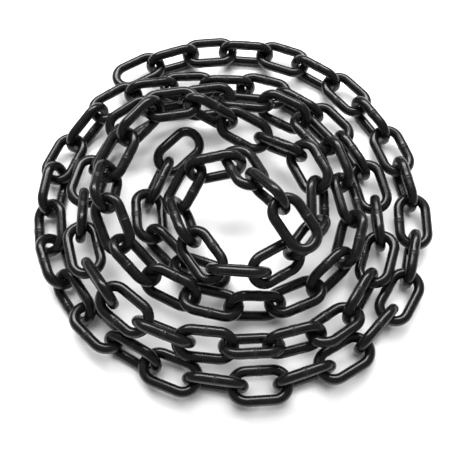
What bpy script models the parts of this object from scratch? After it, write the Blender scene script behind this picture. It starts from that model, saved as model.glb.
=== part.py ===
"""Heap of small boat anchor chain, coiled flat on the floor in about five turns.

The main length of welded round-bar chain is laid along a spiral, from the free link
outside the top of the coil, clockwise and inwards, to the free link that lies on top near
the middle.  A short length of five links lies inside the left of the coil, laid first, and
the main length passes over it.  Every link is rolled a quarter turn from the one before
it.  Past a length's first link the links are modelled two at a time, joined where their
crowns bear on each other.

Metres, +Z up, floor at Z = 0, centre of the heap's plan at X = Y = 0.
"""

import math

import bmesh
import bpy
import numpy as np

# Link, metres
WIRE = 0.0075
INSIDE_LENGTH = 0.0315
OUTSIDE_WIDTH = 0.0280
BEND_RADIUS = (OUTSIDE_WIDTH - WIRE) / 2
CROWN_REACH = (INSIDE_LENGTH + WIRE) / 2
BAR_HALF = CROWN_REACH - BEND_RADIUS

# Faceting of a link
SECTION_SIDES = 8
CROWN_CORNERS = 4

# Play between links, metres
FREE_GAP = 0.0008
JOINED_LAP = 0.0003
CROSSING_DISTANCE = 0.0092

# Routes seen from above: clock angle in degrees, clockwise from +Y, where each length of
# chain starts, and its radius in millimetres at every step
CLOCK_STEP = 30.0
SHORT_START = 185.0
SHORT_RADII = (61, 61, 61, 60, 58, 63, 56)
LONG_START = 322.63
LONG_RADII = (
    (144, 142.5, 143, 138.5, 138.5, 144, 144.5, 139.5, 134, 134, 135, 133),
    (121, 108, 108, 106.5, 110.5, 118.5, 124, 115.5, 116, 114.5, 109.5, 106.5),
    (95, 85.5, 86, 87.5, 87, 97.5, 92, 85.5, 84, 86.5, 88, 85),
    (82, 63.5, 54.5, 60, 66, 71, 69, 69.5, 54, 36, 37.5, 28.5),
    (29, 25.5, 17.5, 15.5, 14, 18, 97),
)
ROUTE_SPLIT = 100

# Slow twist of the chain and lean of its inner turns: (link, degrees)
SHORT_TWIST = ((0, 25), (99, 25))
LONG_TWIST = (
    (0, 0), (17, 0), (19, 20), (25, 86), (29, 90), (38, 105), (46, 190), (49, 200), (54, 243), (56, 243), (59, 205),
    (61, 205), (77, 336), (79, 330), (83, 360), (99, 360),
)

# Heights, metres, and the steepest climb as rise over run
LEVEL_HEIGHT = OUTSIDE_WIDTH / 2
CLIMB = 0.28
CLIMB_LIMIT = 0.018
LIFT_ROUNDS = 60
AIM_ROUNDS = 3
HOOK_ROUNDS = 10
HOOK_GAIN = 1.2
NEARBY = 0.05
LINE_POINTS = 44
BAR_POINTS = 120
LIFT_SHARE = 0.5
LEAST_LIFT = 0.0001
LIFT_TOLERANCE = 0.00001

# What the nodes of each length are called, before the numbers of their links
LENGTH_NAMES = ("short_", "")

# Finish
BLACK_STEEL = (0.030, 0.031, 0.033, 1.0)
STEEL_METALLIC = 0.75
STEEL_ROUGHNESS = 0.38


def clear_scene():
    """Remove every object that the scene starts with."""
    for thing in list(bpy.data.objects):
        bpy.data.objects.remove(thing, do_unlink=True)


def between(keys, at):
    """Value at a link, on straight lines through the keys."""
    for (start, low), (end, high) in zip(keys[:-1], keys[1:]):
        if at <= end:
            return low + (high - low) * (at - start) / (end - start)
    return keys[-1][1]


def route_points(start_clock, radii_mm):
    """Points along a spiral, with a smooth curve through the radii."""
    radii = [radius / 1000 for radius in radii_mm]
    last = len(radii) - 1
    points = []
    for step in range(last):
        before, start, end, after = (radii[min(max(step + n, 0), last)] for n in (-1, 0, 1, 2))
        for split in range(ROUTE_SPLIT):
            t = split / ROUTE_SPLIT
            slope = end - before
            curve = 2 * before - 5 * start + 4 * end - after
            swing = 3 * (start - end) + after - before
            radius = start + 0.5 * t * (slope + t * (curve + t * swing))
            clock = math.radians(start_clock + CLOCK_STEP * (step + t))
            points.append(np.array((radius * math.sin(clock), radius * math.cos(clock))))
    return points


def play_at(joint):
    """Gap between the two links that meet at a joint, less than nothing inside a pair."""
    inside_pair = joint >= 2 and joint % 2 == 0
    return -JOINED_LAP if inside_pair else FREE_GAP


def across_direction(along, roll):
    """Direction across a link's width: level at no roll, upright at a quarter turn."""
    side = np.cross((0.0, 0.0, 1.0), along)
    side /= np.linalg.norm(side)
    return side * math.cos(math.radians(roll)) + np.cross(along, side) * math.sin(math.radians(roll))


def centre_line(count):
    """Even points round the middle of a link's bar, in the link's own plane."""
    arc = math.pi * BEND_RADIUS
    bar = 2 * BAR_HALF
    points = []
    for index in range(count):
        run = 2 * (arc + bar) * index / count
        sign = 1 if run < arc + bar else -1
        run %= arc + bar
        if run < arc:
            angle = run / BEND_RADIUS - math.pi / 2
            point = (BAR_HALF + BEND_RADIUS * math.cos(angle), BEND_RADIUS * math.sin(angle))
        else:
            point = (BAR_HALF - (run - arc), BEND_RADIUS)
        points.append((sign * point[0], sign * point[1]))
    return np.array(points)


BAR_LINE = centre_line(BAR_POINTS)
CROWN_LINE = BAR_LINE[BAR_LINE[:, 0] > 0]


def apart(line, other):
    """Smallest distance between the points of two lines."""
    between_all = line[:, None] - other[None]
    return math.sqrt(float((between_all * between_all).sum(-1).min()))


def hooked_frame(before, along, roll, play):
    """Frame of a link that is hooked into the one before it and bears on its crown."""
    centre, before_along, before_across = before
    across = across_direction(along, roll)
    bearing = np.cross(across, before_across)
    bearing /= np.linalg.norm(bearing)
    if bearing @ before_along < 0:
        bearing = -bearing
    near_half = centre + CROWN_LINE[:, :1] * before_along + CROWN_LINE[:, 1:] * before_across
    far_half = -CROWN_LINE[:, :1] * along + CROWN_LINE[:, 1:] * across
    offset = WIRE + play
    for _ in range(HOOK_ROUNDS):
        middle = centre + CROWN_REACH * (before_along + along) - offset * bearing
        offset += HOOK_GAIN * (WIRE + play - apart(near_half, middle + far_half))
    return middle, along, across


def lay_links(points, twist, heights):
    """Frames of a length's links, hooked one into the next along its route at the joints' heights."""
    frames = []
    at = 0
    along = points[1] - points[0]
    along = np.array((*along, 0.0)) / np.linalg.norm(along)
    crown = np.array((*points[0], heights[0])) - WIRE / 2 * along
    while True:
        link = len(frames)
        roll = 90 * link + between(twist, link - (link + 1) % 2)
        height = heights[min(link + 1, len(heights) - 1)]
        for _ in range(AIM_ROUNDS):
            frame = (crown + CROWN_REACH * along, along, across_direction(along, roll))
            if frames:
                frame = hooked_frame(frames[-1], along, roll, play_at(link))
                crown = frame[0] - CROWN_REACH * along
            climb = min(max(height - crown[2], -CLIMB_LIMIT), CLIMB_LIMIT)
            reach = math.sqrt((INSIDE_LENGTH + WIRE / 2) ** 2 - climb ** 2)
            ahead = at
            while ahead < len(points) and np.linalg.norm(points[ahead] - crown[:2]) < reach:
                ahead += 1
            if ahead == len(points):
                return frames
            aim = np.array((*(points[ahead] - crown[:2]), climb))
            along = aim / np.linalg.norm(aim)
        frames.append(frame)
        at = ahead - ROUTE_SPLIT // 4


def lowest_point(frame):
    """Height of a link's lowest corner."""
    return min(point[2] for ring in link_points(frame) for point in ring)


def joint_lifts(lengths):
    """How much each joint has to rise for its links to clear the floor and the links laid before them."""
    line = centre_line(LINE_POINTS)
    laid = [(owner, link, frame) for owner, frames in enumerate(lengths) for link, frame in enumerate(frames)]
    lines = [centre + line[:, :1] * along + line[:, 1:] * across for _, _, (centre, along, across) in laid]
    lifts = [np.zeros(len(frames) + 1) for frames in lengths]
    for high, (owner, link, frame) in enumerate(laid):
        lift = -lowest_point(frame)
        for low, (low_owner, low_link, low_frame) in enumerate(laid[:high]):
            hooked = low_owner == owner and low_link == link - 1
            if hooked or np.linalg.norm(frame[0][:2] - low_frame[0][:2]) > NEARBY:
                continue
            short = CROSSING_DISTANCE - apart(lines[low], lines[high])
            if short > 0:
                lift = max(lift, LIFT_SHARE * short, LEAST_LIFT)
        if lift > LIFT_TOLERANCE:
            lifts[owner][link:link + 2] = np.maximum(lifts[owner][link:link + 2], lift)
    return lifts


def eased(heights):
    """Heights of joints, raised where the chain would climb or drop too steeply."""
    step = CLIMB * INSIDE_LENGTH
    for index in range(1, len(heights)):
        heights[index] = max(heights[index], heights[index - 1] - step)
    for index in range(len(heights) - 2, -1, -1):
        heights[index] = max(heights[index], heights[index + 1] - step)
    return heights


def lay_heap():
    """Frames of the links of both lengths: level, and raised where a later link lies over an earlier one."""
    long_radii = [radius for turn in LONG_RADII for radius in turn]
    routes = [(route_points(SHORT_START, SHORT_RADII), SHORT_TWIST), (route_points(LONG_START, long_radii), LONG_TWIST)]
    heights = [np.full(1, LEVEL_HEIGHT) for _ in routes]
    for _ in range(LIFT_ROUNDS):
        lengths = [lay_links(points, twist, height) for (points, twist), height in zip(routes, heights)]
        lifts = joint_lifts(lengths)
        if not any(lift.any() for lift in lifts):
            break
        for index, lift in enumerate(lifts):
            heights[index] = np.append(heights[index], [LEVEL_HEIGHT] * len(lift))[:len(lift)]
            heights[index] = eased(heights[index] + lift)
    return lengths


def link_points(frame):
    """Corner points of a link, one ring of points for each corner of the bent bar."""
    centre, along, across = frame
    normal = np.cross(along, across)
    half_step = math.pi / CROWN_CORNERS / 2
    corner = WIRE / 2 / math.cos(math.pi / SECTION_SIDES)
    rings = []
    for ring in range(2 * CROWN_CORNERS):
        angle = half_step * (2 * ring + 1) - math.pi / 2
        end = BAR_HALF if ring < CROWN_CORNERS else -BAR_HALF
        outwards = math.cos(angle) * along + math.sin(angle) * across
        points = []
        for side in range(SECTION_SIDES):
            section = 2 * math.pi * (side + 0.5) / SECTION_SIDES
            reach = (BEND_RADIUS + corner * math.cos(section)) / math.cos(half_step)
            points.append(centre + end * along + reach * outwards + corner * math.sin(section) * normal)
        rings.append(points)
    return rings


def link_object(name, rings):
    """Closed solid of one link from its rings of points."""
    mesh = bpy.data.meshes.new(name)
    shape = bmesh.new()
    verts = [[shape.verts.new(point) for point in ring] for ring in rings]
    for ring, row in enumerate(verts):
        following = verts[(ring + 1) % len(verts)]
        for side in range(SECTION_SIDES):
            beside = (side + 1) % SECTION_SIDES
            shape.faces.new((row[side], following[side], following[beside], row[beside]))
    bmesh.ops.recalc_face_normals(shape, faces=shape.faces)
    for face in shape.faces:
        face.smooth = True
    shape.to_mesh(mesh)
    shape.free()
    thing = bpy.data.objects.new(name, mesh)
    bpy.context.scene.collection.objects.link(thing)
    return thing


def join_links(thing, other):
    """Join a second link to the first where their crowns bear on each other."""
    modifier = thing.modifiers.new("bearing", "BOOLEAN")
    modifier.operation = "UNION"
    modifier.solver = "EXACT"
    modifier.object = other
    bpy.context.view_layer.objects.active = thing
    bpy.ops.object.modifier_apply(modifier=modifier.name)
    bpy.data.objects.remove(other, do_unlink=True)


def black_steel(name):
    """Satin black steel for one sub-part."""
    material = bpy.data.materials.new("black_steel_" + name)
    material.use_nodes = True
    shader = material.node_tree.nodes["Principled BSDF"]
    shader.inputs["Base Color"].default_value = BLACK_STEEL
    shader.inputs["Metallic"].default_value = STEEL_METALLIC
    shader.inputs["Roughness"].default_value = STEEL_ROUGHNESS
    return material


def node_groups(count):
    """Links of each node of a length: the first end link, then two at a time."""
    return [[0]] + [list(range(first, min(first + 2, count))) for first in range(1, count, 2)]


def build_node(name, links, collection):
    """One node of one link, or of two that are joined."""
    made = [link_object(name, rings) for rings in links]
    thing = made[0]
    if len(made) > 1:
        join_links(thing, made[1])
    thing.name = name
    thing.data.name = name
    thing.data.materials.clear()
    thing.data.materials.append(black_steel(name))
    bpy.context.scene.collection.objects.unlink(thing)
    collection.objects.link(thing)


def main():
    """Build the heap of chain."""
    clear_scene()
    lengths = [[np.array(link_points(frame)) for frame in frames] for frames in lay_heap()]
    every = np.concatenate([links for length in lengths for links in length]).reshape(-1, 3)
    low, high = every.min(axis=0), every.max(axis=0)
    shift = np.array((-(low[0] + high[0]) / 2, -(low[1] + high[1]) / 2, 0.0))
    heap = bpy.data.collections.new("anchor_chain_heap")
    bpy.context.scene.collection.children.link(heap)
    for length, start in zip(lengths, LENGTH_NAMES):
        for members in node_groups(len(length)):
            name = start + "link_" + "_".join(f"{link:02d}" for link in members)
            build_node(name, [length[link] + shift for link in members], heap)


main()
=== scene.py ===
"""Looks of a heap of small boat anchor chain, coiled flat on the floor in about five turns.

Every link is modelled as the real one is made: round bar bent to a loop, closed by a
butt weld at the middle of one straight side, and finished in satin black.  The links lie
where the solids of the frame have them.  Metres, +Z up, floor at Z = 0.
"""

import logging
import math
import random
from collections.abc import Iterator
from dataclasses import dataclass, field
from enum import Enum

import bpy
import numpy as np
from mathutils import Matrix, Vector


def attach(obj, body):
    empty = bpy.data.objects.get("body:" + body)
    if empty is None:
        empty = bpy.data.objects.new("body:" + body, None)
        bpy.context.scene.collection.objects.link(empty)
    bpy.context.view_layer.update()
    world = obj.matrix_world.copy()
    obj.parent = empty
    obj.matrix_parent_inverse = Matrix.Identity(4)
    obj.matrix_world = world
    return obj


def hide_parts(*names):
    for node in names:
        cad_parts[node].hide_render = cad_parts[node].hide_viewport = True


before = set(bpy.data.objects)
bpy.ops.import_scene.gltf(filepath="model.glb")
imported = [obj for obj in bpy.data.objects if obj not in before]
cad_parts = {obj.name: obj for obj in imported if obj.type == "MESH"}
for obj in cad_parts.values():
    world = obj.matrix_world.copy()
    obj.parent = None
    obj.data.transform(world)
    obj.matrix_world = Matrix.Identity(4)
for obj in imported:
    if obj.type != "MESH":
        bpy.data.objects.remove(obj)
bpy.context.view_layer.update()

LOG = logging.getLogger("anchor_chain")
MM = 0.001
BODY = "root"
FULL_TURN = 2 * math.pi
HALF_TURN_DEGREES = 180
# The colour sockets of a Mix node share their names with its other sockets
MIX_FIRST = 6
MIX_SECOND = 7
MIX_RESULT = 2


class BarPart(Enum):
    """Where on a link's bar a point lies."""

    NEAR_SIDE = "near side"
    FAR_SIDE = "far side"
    CROWN = "crown"


def linear(hex_colour: str) -> tuple[float, float, float, float]:
    """Turn an sRGB hex colour to linear values, by the standard's curve.

    Args:
        hex_colour: Colour as #RRGGBB.

    Returns:
        Red, green, blue and full opacity.
    """
    values = [int(hex_colour[place:place + 2], 16) / 255 for place in (1, 3, 5)]
    curve = [v / 12.92 if v <= 0.04045 else ((v + 0.055) / 1.055) ** 2.4 for v in values]
    return (curve[0], curve[1], curve[2], 1.0)


def add_node(tree: bpy.types.NodeTree, kind: str, links: dict | None = None,
             **settings) -> bpy.types.Node:
    """Add a shader node with its settings and links.

    Args:
        tree: Node tree that takes the node.
        kind: Node type, such as ShaderNodeTexNoise.
        links: Input name or number, with a value or the output socket that feeds it.
        **settings: Attributes of the node.

    Returns:
        The new node.
    """
    node = tree.nodes.new(kind)
    for name, value in settings.items():
        setattr(node, name, value)
    for name, value in (links or {}).items():
        if isinstance(value, bpy.types.NodeSocket):
            tree.links.new(value, node.inputs[name])
        else:
            node.inputs[name].default_value = value
    return node


def deselect_all() -> None:
    """Leave object mode with nothing selected."""
    if bpy.context.object and bpy.context.object.mode != "OBJECT":
        bpy.ops.object.mode_set(mode="OBJECT")
    bpy.ops.object.select_all(action="DESELECT")


def make_active(thing: bpy.types.Object) -> None:
    """Select one object alone and make it active.

    Args:
        thing: The object.
    """
    deselect_all()
    thing.select_set(True)
    bpy.context.view_layer.objects.active = thing


@dataclass(frozen=True)
class LinkSize:
    """Sizes of a link in metres, and the facets that its solid has."""

    wire: float = 7.5 * MM
    inside_length: float = 31.5 * MM
    outside_width: float = 28.0 * MM
    cage_sides: int = 8
    cage_corners: int = 4

    @property
    def bend_radius(self) -> float:
        """Radius of the crown's centre line."""
        return (self.outside_width - self.wire) / 2

    @property
    def bar_half(self) -> float:
        """Half the length of a straight side."""
        return (self.inside_length + self.wire) / 2 - self.bend_radius

    def cage(self) -> np.ndarray:
        """Lay out the corner points of the faceted link.

        Returns:
            Points in the link's own axes: along, across and normal.
        """
        half_step = math.pi / self.cage_corners / 2
        corner = self.wire / 2 / math.cos(math.pi / self.cage_sides)
        points = []
        for ring in range(2 * self.cage_corners):
            angle = half_step * (2 * ring + 1) - math.pi / 2
            end = self.bar_half if ring < self.cage_corners else -self.bar_half
            for side in range(self.cage_sides):
                section = FULL_TURN * (side + 0.5) / self.cage_sides
                reach = (self.bend_radius + corner * math.cos(section)) / math.cos(half_step)
                points.append((end + reach * math.cos(angle), reach * math.sin(angle),
                               corner * math.sin(section)))
        return np.array(points)


@dataclass(frozen=True)
class LinkPlace:
    """Where a link lies: its middle, and its axes as the columns of a turn."""

    middle: np.ndarray
    turn: np.ndarray

    def matrix(self) -> Matrix:
        """Write the place as one matrix.

        Returns:
            The 4 x 4 matrix that takes the link from the origin to its place.
        """
        whole = np.eye(4)
        whole[:3, :3] = self.turn
        whole[:3, 3] = self.middle
        return Matrix(whole.tolist())


@dataclass
class LinkFinder:
    """Finds the links of a node of the frame by laying the faceted link on its corners.

    The reaches say how far a corner of the node may be from the link's, round after round.
    The roll step and the tilt, in degrees, spread the first guesses.  A corner is hit when
    it is close, and a link is found when enough of its 64 corners are hit.
    """

    size: LinkSize
    reaches_mm: tuple[float, ...] = (9, 7, 5, 4, 3, 2.5, 2, 1.5, 1, 0.6, 0.3, 0.1)
    roll_step: float = 15.0
    tilt: float = 22.0
    close: float = 0.03 * MM
    grids_in_close: int = 3
    enough: int = 52
    fewest: int = 6

    def corners(self, node: bpy.types.Object) -> np.ndarray:
        """Collect a node's corner points, each once.

        Args:
            node: Node of the frame.

        Returns:
            The points.
        """
        points = np.array([vert.co for vert in node.data.vertices], float)
        grid = np.round(points / (self.close / self.grids_in_close)).astype(int)
        return points[np.unique(grid, axis=0, return_index=True)[1]]

    def long_axis(self, cloud: np.ndarray) -> np.ndarray:
        """Find the direction in which a cloud of points is longest.

        Args:
            cloud: The points.

        Returns:
            Unit vector of the direction.
        """
        return np.linalg.svd(cloud - cloud.mean(axis=0))[2][0]

    def settle(self, cage: np.ndarray, cloud: np.ndarray,
               place: LinkPlace) -> tuple[int, LinkPlace]:
        """Move a first guess until the cage lies on the corners.

        Args:
            cage: Corners of the faceted link in its own axes.
            cloud: Corners of the node.
            place: First guess.

        Returns:
            How many of the cage's corners lie on corners of the node, and the place.
        """
        middle, turn = place.middle, place.turn
        hits = 0
        for reach in self.reaches_mm:
            placed = cage @ turn.T + middle
            gaps = np.linalg.norm(placed[:, None] - cloud[None], axis=2)
            nearest = gaps.argmin(axis=1)
            shortest = gaps.min(axis=1)
            near = shortest < reach * MM
            hits = int((shortest < self.close).sum())
            if near.sum() < self.fewest:
                break
            source, target = cage[near], cloud[nearest[near]]
            spread = (source - source.mean(axis=0)).T @ (target - target.mean(axis=0))
            left, _, right = np.linalg.svd(spread)
            flip = np.diag((1.0, 1.0, np.sign(np.linalg.det(right.T @ left.T))))
            turn = right.T @ flip @ left.T
            middle = target.mean(axis=0) - turn @ source.mean(axis=0)
        return hits, LinkPlace(middle, turn)

    def guesses(self, middle: np.ndarray, along: np.ndarray) -> Iterator[LinkPlace]:
        """Turn the link about its length, and tilt it to each side.

        Args:
            middle: Middle of the link's corners.
            along: Rough direction of its length.

        Yields:
            First guesses of the link's place.
        """
        side = np.cross((0.0, 0.0, 1.0), along)
        side /= np.linalg.norm(side)
        rise = np.cross(along, side)
        tilt = math.tan(math.radians(self.tilt))
        for lean in (0 * side, tilt * side, -tilt * side, tilt * rise, -tilt * rise):
            axis = along + lean
            axis /= np.linalg.norm(axis)
            first = np.cross(axis, np.cross(side, axis))
            first /= np.linalg.norm(first)
            second = np.cross(axis, first)
            for count in range(int(HALF_TURN_DEGREES / self.roll_step)):
                roll = math.radians(count * self.roll_step)
                across = first * math.cos(roll) + second * math.sin(roll)
                turn = np.stack((axis, across, np.cross(axis, across)), axis=1)
                yield LinkPlace(middle, turn)

    def find_one(self, cage: np.ndarray, cloud: np.ndarray,
                 part: np.ndarray) -> tuple[int, LinkPlace | None]:
        """Find one link in its part of a node's corners.

        Args:
            cage: Corners of the faceted link in its own axes.
            cloud: Corners of the node.
            part: Those on the link's side of the node.

        Returns:
            How many corners are hit, and the best place.
        """
        middle = (part.min(axis=0) + part.max(axis=0)) / 2
        best = (0, None)
        for guess in self.guesses(middle, self.long_axis(part)):
            found = self.settle(cage, cloud, guess)
            if found[0] > best[0]:
                best = found
            if best[0] >= self.enough:
                break
        return best

    def find(self, node: bpy.types.Object, count: int) -> list[LinkPlace]:
        """Find the places of a node's links.

        Args:
            node: Node of the frame.
            count: How many links it holds, one or two.

        Returns:
            One place for each link.

        Raises:
            RuntimeError: A link wasn't found, or both were found in one place.
        """
        cloud = self.corners(node)
        cage = self.size.cage()
        ahead = (cloud - cloud.mean(axis=0)) @ self.long_axis(cloud)
        parts = [cloud] if count == 1 else [cloud[ahead < 0], cloud[ahead > 0]]
        places = []
        for part in parts:
            hits, place = self.find_one(cage, cloud, part)
            if hits < self.enough:
                raise RuntimeError(f"{node.name}: a link lies on only {hits} corners")
            places.append(place)
        apart = self.size.inside_length / 2
        if count == 2 and np.linalg.norm(places[0].middle - places[1].middle) < apart:
            raise RuntimeError(f"{node.name}: both links were found in one place")
        return places


@dataclass(frozen=True)
class SatinBlackSteel:
    """Low-carbon steel chain dipped in thin black lacquer: satin, nearly black, streaked.

    The lacquer shows soft grey highlights along the bars and stays black at their sides.
    Where links rub it is thin and a little lighter, and the weld is rougher and duller.
    The streaks run along the bar.  Pattern sizes are in millimetres, and each range says
    between which values of its noise a pattern fades in.
    """

    deep_black: str = "#050506"
    worn_black: str = "#0D0E0F"
    bare_steel: str = "#4A4C50"
    weld_grey: str = "#141516"
    specular: float = 0.44
    roughness: float = 0.25
    smoother: float = 0.05
    rougher: float = 0.09
    weld_rougher: float = 0.16
    mottle_mm: float = 5.0
    mottle_detail: float = 5.0
    mottle_roughness: float = 0.6
    mottle_range: tuple[float, float] = (0.40, 0.72)
    streak_mm: float = 0.5
    streak_detail: float = 3.0
    streak_roughness: float = 0.55
    streak_range: tuple[float, float] = (0.48, 0.70)
    streak_lengthwise: float = 0.06
    grain_mm: float = 0.35
    grain_detail: float = 2.0
    grain_roughness: float = 0.5
    grain_share: float = 0.35
    bump_strength: float = 0.10
    bump_mm: float = 0.12

    def noise(self, tree: bpy.types.NodeTree, place: bpy.types.NodeSocket, size_mm: float,
              detail: float, roughness: float) -> bpy.types.NodeSocket:
        """Add a noise pattern.

        Args:
            tree: Node tree that takes the node.
            place: Output that gives the coordinates, in metres.
            size_mm: Size of the pattern.
            detail: Octaves of the noise.
            roughness: How much the finer octaves weigh.

        Returns:
            The output with the noise.
        """
        return add_node(tree, "ShaderNodeTexNoise", {
            "Vector": place, "Scale": 1 / (size_mm * MM),
            "Detail": detail, "Roughness": roughness}).outputs["Fac"]

    def fade(self, tree: bpy.types.NodeTree, noise: bpy.types.NodeSocket,
             limits: tuple[float, float]) -> bpy.types.NodeSocket:
        """Add a fade from none to all between two values of a noise.

        Args:
            tree: Node tree that takes the node.
            noise: Output with the noise.
            limits: The two values.

        Returns:
            The output with the fade.
        """
        return add_node(tree, "ShaderNodeMapRange", {
            "Value": noise, "From Min": limits[0], "From Max": limits[1]}).outputs["Result"]

    def mix(self, tree: bpy.types.NodeTree, share: bpy.types.NodeSocket,
            first: bpy.types.NodeSocket | tuple, second: tuple) -> bpy.types.NodeSocket:
        """Add a mix of two colours.

        Args:
            tree: Node tree that takes the node.
            share: Output with the second colour's share.
            first: First colour, or the output that gives it.
            second: Second colour.

        Returns:
            The output with the mixed colour.
        """
        return add_node(tree, "ShaderNodeMix", {
            "Factor": share, MIX_FIRST: first, MIX_SECOND: second},
            data_type="RGBA").outputs[MIX_RESULT]

    def attribute(self, tree: bpy.types.NodeTree, name: str) -> bpy.types.NodeSocket:
        """Add a node that reads one of the links' attributes.

        Args:
            tree: Node tree that takes the node.
            name: Name of the attribute.

        Returns:
            The output with its value.
        """
        return add_node(tree, "ShaderNodeAttribute", attribute_name=name).outputs["Fac"]

    def material(self) -> bpy.types.Material:
        """Build the finish as a node material on the links' own UV map and attributes.

        Returns:
            The material.
        """
        material = bpy.data.materials.new("satin_black_steel")
        material.use_nodes = True
        tree = material.node_tree
        tree.nodes.clear()
        place = add_node(tree, "ShaderNodeTexCoord").outputs["Object"]
        bar = add_node(tree, "ShaderNodeUVMap", uv_map="bar").outputs["UV"]
        weld = self.attribute(tree, "weld")
        rub = self.attribute(tree, "rub")
        tone = self.attribute(tree, "tone")
        stretched = add_node(tree, "ShaderNodeMapping", {
            "Vector": bar, "Scale": (1.0, self.streak_lengthwise, 1.0)}).outputs["Vector"]
        mottle = self.noise(tree, place, self.mottle_mm, self.mottle_detail, self.mottle_roughness)
        streaks = self.noise(tree, stretched, self.streak_mm, self.streak_detail,
                             self.streak_roughness)
        grain = self.noise(tree, place, self.grain_mm, self.grain_detail, self.grain_roughness)
        toned = add_node(tree, "ShaderNodeMath", {
            0: self.fade(tree, mottle, self.mottle_range), 1: tone},
            operation="ADD", use_clamp=True).outputs["Value"]
        rubbed = add_node(tree, "ShaderNodeMath", {
            0: self.fade(tree, streaks, self.streak_range), 1: rub},
            operation="MULTIPLY").outputs["Value"]
        lacquer = self.mix(tree, toned, linear(self.deep_black), linear(self.worn_black))
        bared = self.mix(tree, rubbed, lacquer, linear(self.bare_steel))
        welded = self.mix(tree, weld, bared, linear(self.weld_grey))
        dull = add_node(tree, "ShaderNodeMapRange", {
            "Value": mottle, "To Min": self.roughness - self.smoother,
            "To Max": self.roughness + self.rougher}).outputs["Result"]
        coarse = add_node(tree, "ShaderNodeMath", {
            0: weld, 1: self.weld_rougher, 2: dull}, operation="MULTIPLY_ADD").outputs["Value"]
        relief = add_node(tree, "ShaderNodeMath", {
            0: grain, 1: self.grain_share, 2: streaks},
            operation="MULTIPLY_ADD").outputs["Value"]
        bump = add_node(tree, "ShaderNodeBump", {
            "Height": relief, "Strength": self.bump_strength,
            "Distance": self.bump_mm * MM}).outputs["Normal"]
        shader = add_node(tree, "ShaderNodeBsdfPrincipled", {
            "Base Color": welded, "Roughness": coarse, "Normal": bump,
            "Specular IOR Level": self.specular}).outputs["BSDF"]
        tree.nodes.active = add_node(tree, "ShaderNodeOutputMaterial", {"Surface": shader})
        return material


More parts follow.
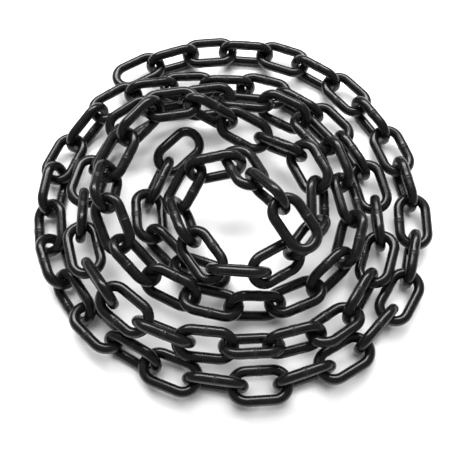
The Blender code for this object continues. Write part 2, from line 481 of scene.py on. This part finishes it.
@dataclass
class BentBarLink:
    """One link, bent from round bar and butt-welded at the middle of a straight side.

    The weld's swells belong to its rings, from the seam in the middle outwards.
    """

    size: LinkSize
    sides: int = 24
    crown_steps: int = 18
    far_steps: int = 6
    weld_rings_mm: tuple[float, ...] = (0.0, 0.28, 0.75, 1.3, 2.0, 3.0, 5.2)
    weld_swell: tuple[float, ...] = (0.955, 1.028, 1.048, 1.040, 1.018, 1.0, 1.0)
    weld_reach: float = 2.4 * MM
    merge: float = 0.01 * MM

    def model(self) -> bpy.types.Object:
        """Model the link at the origin, with its weld on the +Y side.

        Returns:
            The link.
        """
        size = self.size
        deselect_all()
        bpy.ops.mesh.primitive_circle_add(
            vertices=self.sides, radius=size.wire / 2, fill_type="NOTHING",
            location=(0, size.bend_radius, 0), rotation=(0, math.pi / 2, 0))
        link = bpy.context.object
        link.name = "master_link"
        bpy.ops.object.transform_apply(location=True, rotation=True, scale=True)
        bpy.ops.object.mode_set(mode="EDIT")
        bpy.ops.mesh.select_all(action="SELECT")
        places = [*(ring * MM for ring in self.weld_rings_mm), size.bar_half]
        weld_steps = [b - a for a, b in zip(places[:-1], places[1:])]
        self.run_straight(weld_steps)
        self.bend(size.bar_half)
        self.run_straight([-2 * size.bar_half / self.far_steps] * self.far_steps)
        self.bend(-size.bar_half)
        self.run_straight(weld_steps[::-1])
        bpy.ops.mesh.select_all(action="SELECT")
        bpy.ops.mesh.remove_doubles(threshold=self.merge)
        bpy.ops.mesh.normals_make_consistent(inside=False)
        bpy.ops.object.mode_set(mode="OBJECT")
        self.swell_weld(link)
        bpy.ops.object.shade_smooth()
        self.mark(link)
        return link

    def run_straight(self, steps: list[float]) -> None:
        """Extrude the open end along X.

        Args:
            steps: Length of each step.
        """
        for step in steps:
            bpy.ops.mesh.extrude_region_move(TRANSFORM_OT_translate={"value": (step, 0, 0)})

    def bend(self, centre: float) -> None:
        """Spin the open end half a turn round a crown.

        Args:
            centre: Where on X the crown's centre is.
        """
        bpy.ops.mesh.spin(steps=self.crown_steps, angle=math.pi, center=(centre, 0, 0),
                          axis=(0, 0, 1))

    def swell_weld(self, link: bpy.types.Object) -> None:
        """Shape the upset bead of the weld, with its narrow seam, ring by ring.

        Args:
            link: The link with a plain bar.
        """
        axis = Vector((0, self.size.bend_radius, 0))
        for vert in link.data.vertices:
            if vert.co.y < 0:
                continue
            for ring, swell in zip(self.weld_rings_mm, self.weld_swell):
                if abs(abs(vert.co.x) - ring * MM) < self.merge:
                    middle = axis + Vector((vert.co.x, 0, 0))
                    vert.co = middle + (vert.co - middle) * swell
                    break

    def part_of(self, x: float, y: float) -> BarPart:
        """Tell which part of the bar a point lies on.

        Args:
            x: Place of the point along the link.
            y: Place across it.

        Returns:
            The part.
        """
        if abs(x) > self.size.bar_half:
            return BarPart.CROWN
        return BarPart.NEAR_SIDE if y > 0 else BarPart.FAR_SIDE

    def run_of(self, point: Vector) -> tuple[float, float]:
        """Unroll the bar at a point.

        Args:
            point: Point on the bar.

        Returns:
            Distance along the bar from the weld, and angle round the bar.
        """
        size = self.size
        arc = math.pi * size.bend_radius
        part = self.part_of(point.x, point.y)
        if part is BarPart.CROWN:
            end = math.copysign(size.bar_half, point.x)
            turn = math.atan2(abs(point.x - end), point.y)
            reach = math.hypot(point.x - end, point.y)
            run = size.bar_half + turn / math.pi * arc
        elif part is BarPart.NEAR_SIDE:
            reach = abs(point.y)
            run = abs(point.x)
        else:
            reach = abs(point.y)
            run = size.bar_half * 2 + arc - abs(point.x)
        return math.copysign(run, point.x), math.atan2(point.z, reach - size.bend_radius)

    def mark(self, link: bpy.types.Object) -> None:
        """Give the link its UV map, and attributes for its weld and for where links rub.

        Args:
            link: The finished link at the origin.
        """
        mesh = link.data
        size = self.size
        weld = mesh.attributes.new("weld", "FLOAT", "POINT")
        rub = mesh.attributes.new("rub", "FLOAT", "POINT")
        runs = []
        for vert in mesh.vertices:
            run, angle = self.run_of(vert.co)
            runs.append((run, angle))
            weld.data[vert.index].value = max(0.0, 1 - abs(run) / self.weld_reach)
            inner = max(0.0, -math.cos(angle))
            apex = max(0.0, abs(vert.co.x) - size.bar_half) / size.bend_radius
            rub.data[vert.index].value = inner * min(1.0, apex) ** 2
        whole_run = 4 * size.bar_half + FULL_TURN * size.bend_radius
        layer = mesh.uv_layers.new(name="bar")
        for face in mesh.polygons:
            angles = [runs[mesh.loops[loop].vertex_index][1] for loop in face.loop_indices]
            lengths = [runs[mesh.loops[loop].vertex_index][0] for loop in face.loop_indices]
            for loop, angle, length in zip(face.loop_indices, angles, lengths):
                if max(angles) - min(angles) > math.pi and angle < 0:
                    angle += FULL_TURN
                if max(lengths) - min(lengths) > size.inside_length and length < 0:
                    length += whole_run
                layer.data[loop].uv = (angle * size.wire / 2, length)


@dataclass
class ChainHeap:
    """The two lengths of chain, one piece for each node of the frame.

    The weld's side is the upper one where the link is steep, and else the outer one.
    """

    size: LinkSize = field(default_factory=LinkSize)
    finish: SatinBlackSteel = field(default_factory=SatinBlackSteel)
    seed: int = 11
    weld_up_share: float = 0.62
    tone_spread: float = 0.22
    floor_room: float = 0.5 * MM
    steep: float = 0.35

    def build(self) -> list[bpy.types.Object]:
        """Lay a copy of the link in every place of the frame, and join those of a node.

        Returns:
            The pieces.
        """
        chance = random.Random(self.seed)
        master = BentBarLink(self.size).model()
        finder = LinkFinder(self.size)
        master.data.materials.append(self.finish.material())
        pieces = []
        for name in sorted(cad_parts):
            count = len(name.split("link_")[1].split("_"))
            places = finder.find(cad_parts[name], count)
            links = [self.lay(master, place, chance) for place in places]
            piece = self.join(links, name + "_bar")
            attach(piece, BODY)
            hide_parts(name)
            pieces.append(piece)
            LOG.info("%s: %d links, %d faces", piece.name, count, len(piece.data.polygons))
        bpy.data.objects.remove(master, do_unlink=True)
        return pieces

    def lay(self, master: bpy.types.Object, place: LinkPlace,
            chance: random.Random) -> bpy.types.Object:
        """Copy the link to a place, with its weld on the upper or the lower side.

        Args:
            master: The link at the origin, with its weld on the +Y side.
            place: Where the copy goes.
            chance: Seeded random numbers.

        Returns:
            The copy, with its place in its mesh.
        """
        link = bpy.data.objects.new("link", master.data.copy())
        bpy.context.scene.collection.objects.link(link)
        side = place.turn[:, 1]
        outwards = np.array((place.middle[0], place.middle[1], 0.0))
        upper = side[2] if abs(side[2]) > self.steep else -float(side @ outwards)
        lowest = place.middle[2] - abs(side[2]) * self.size.bend_radius - self.size.wire / 2
        weld_up = chance.random() < self.weld_up_share or lowest < self.floor_room
        flip = (upper < 0) == weld_up
        half_turn = Matrix.Rotation(math.pi, 4, "Z") if flip else Matrix.Identity(4)
        link.data.transform(place.matrix() @ half_turn)
        tone = link.data.attributes.new("tone", "FLOAT", "POINT")
        shade = chance.uniform(-self.tone_spread, self.tone_spread)
        tone.data.foreach_set("value", [shade] * len(link.data.vertices))
        return link

    def join(self, links: list[bpy.types.Object], name: str) -> bpy.types.Object:
        """Join a node's links into one piece.

        Args:
            links: One or two links.
            name: Name of the piece.

        Returns:
            The piece.
        """
        make_active(links[0])
        for link in links[1:]:
            link.select_set(True)
        if len(links) > 1:
            bpy.ops.object.join()
        piece = bpy.context.object
        piece.name = name
        piece.data.name = name
        return piece


@dataclass
class Floor:
    """Plain pale floor."""

    half_width: float = 3.0
    colour: str = "#F4F4F4"
    roughness: float = 0.55

    def build(self) -> None:
        """Lay the floor under the heap."""
        deselect_all()
        bpy.ops.mesh.primitive_plane_add(size=2 * self.half_width, location=(0, 0, 0))
        floor = bpy.context.object
        floor.name = "floor"
        material = bpy.data.materials.new("pale_floor")
        material.use_nodes = True
        shader = material.node_tree.nodes["Principled BSDF"]
        shader.inputs["Base Color"].default_value = linear(self.colour)
        shader.inputs["Roughness"].default_value = self.roughness
        floor.data.materials.append(material)


@dataclass
class Softbox:
    """A rectangular studio light that looks at the heap."""

    name: str
    place: tuple[float, float, float]
    width: float
    depth: float
    watts: float
    mirrored: bool = True

    def build(self) -> None:
        """Hang the light, and keep it out of the reflections where it isn't mirrored."""
        data = bpy.data.lights.new(self.name, "AREA")
        data.shape = "RECTANGLE"
        data.size = self.width
        data.size_y = self.depth
        data.energy = self.watts
        light = bpy.data.objects.new(self.name, data)
        bpy.context.scene.collection.objects.link(light)
        light.location = self.place
        light.rotation_euler = (-Vector(self.place)).to_track_quat("-Z", "Y").to_euler()
        light.visible_glossy = self.mirrored


@dataclass
class Studio:
    """A long light behind the heap that streaks the bars, a soft one above, pale surround."""

    surround: str = "#FFFFFF"
    surround_strength: float = 0.26
    softboxes: tuple[Softbox, ...] = (
        Softbox("softbox_back", (-0.10, 0.80, 1.10), width=1.30, depth=0.34, watts=25.0),
        Softbox("softbox_top", (0.05, 0.20, 1.50), width=1.10, depth=0.90, watts=25.0,
                mirrored=False),
    )

    def build(self) -> None:
        """Set the surround and hang the lights."""
        scene = bpy.context.scene
        world = bpy.data.worlds.new("studio")
        scene.world = world
        world.use_nodes = True
        shade = world.node_tree.nodes["Background"]
        shade.inputs["Color"].default_value = linear(self.surround)
        shade.inputs["Strength"].default_value = self.surround_strength
        for softbox in self.softboxes:
            softbox.build()
        scene.view_settings.view_transform = "Standard"


@dataclass
class PhotoCamera:
    """Camera above the front of the heap, as in the photograph.

    The elevation is in degrees, the lens and the sensor in millimetres, the rest in metres.
    """

    elevation: float = 65.87
    distance: float = 0.5325
    lens: float = 56.42
    sensor: float = 36.0
    nearest: float = 0.01
    aim: tuple[float, float, float] = (-0.00403, -0.02038, 0.0136)

    def build(self) -> None:
        """Place the camera."""
        data = bpy.data.cameras.new("camera")
        data.lens = self.lens
        data.sensor_width = self.sensor
        data.clip_start = self.nearest
        camera = bpy.data.objects.new("camera", data)
        bpy.context.scene.collection.objects.link(camera)
        angle = math.radians(self.elevation)
        back = Vector((0.0, -self.distance * math.cos(angle), self.distance * math.sin(angle)))
        camera.location = Vector(self.aim) + back
        camera.rotation_euler = (math.pi / 2 - angle, 0.0, 0.0)
        bpy.context.scene.camera = camera


def main() -> None:
    """Build the heap, its floor, light and camera."""
    logging.basicConfig(level=logging.INFO, format="%(name)s: %(message)s")
    PhotoCamera().build()
    pieces = ChainHeap().build()
    Floor().build()
    Studio().build()
    LOG.info("%d pieces", len(pieces))


if __name__ == "__main__":
    main()
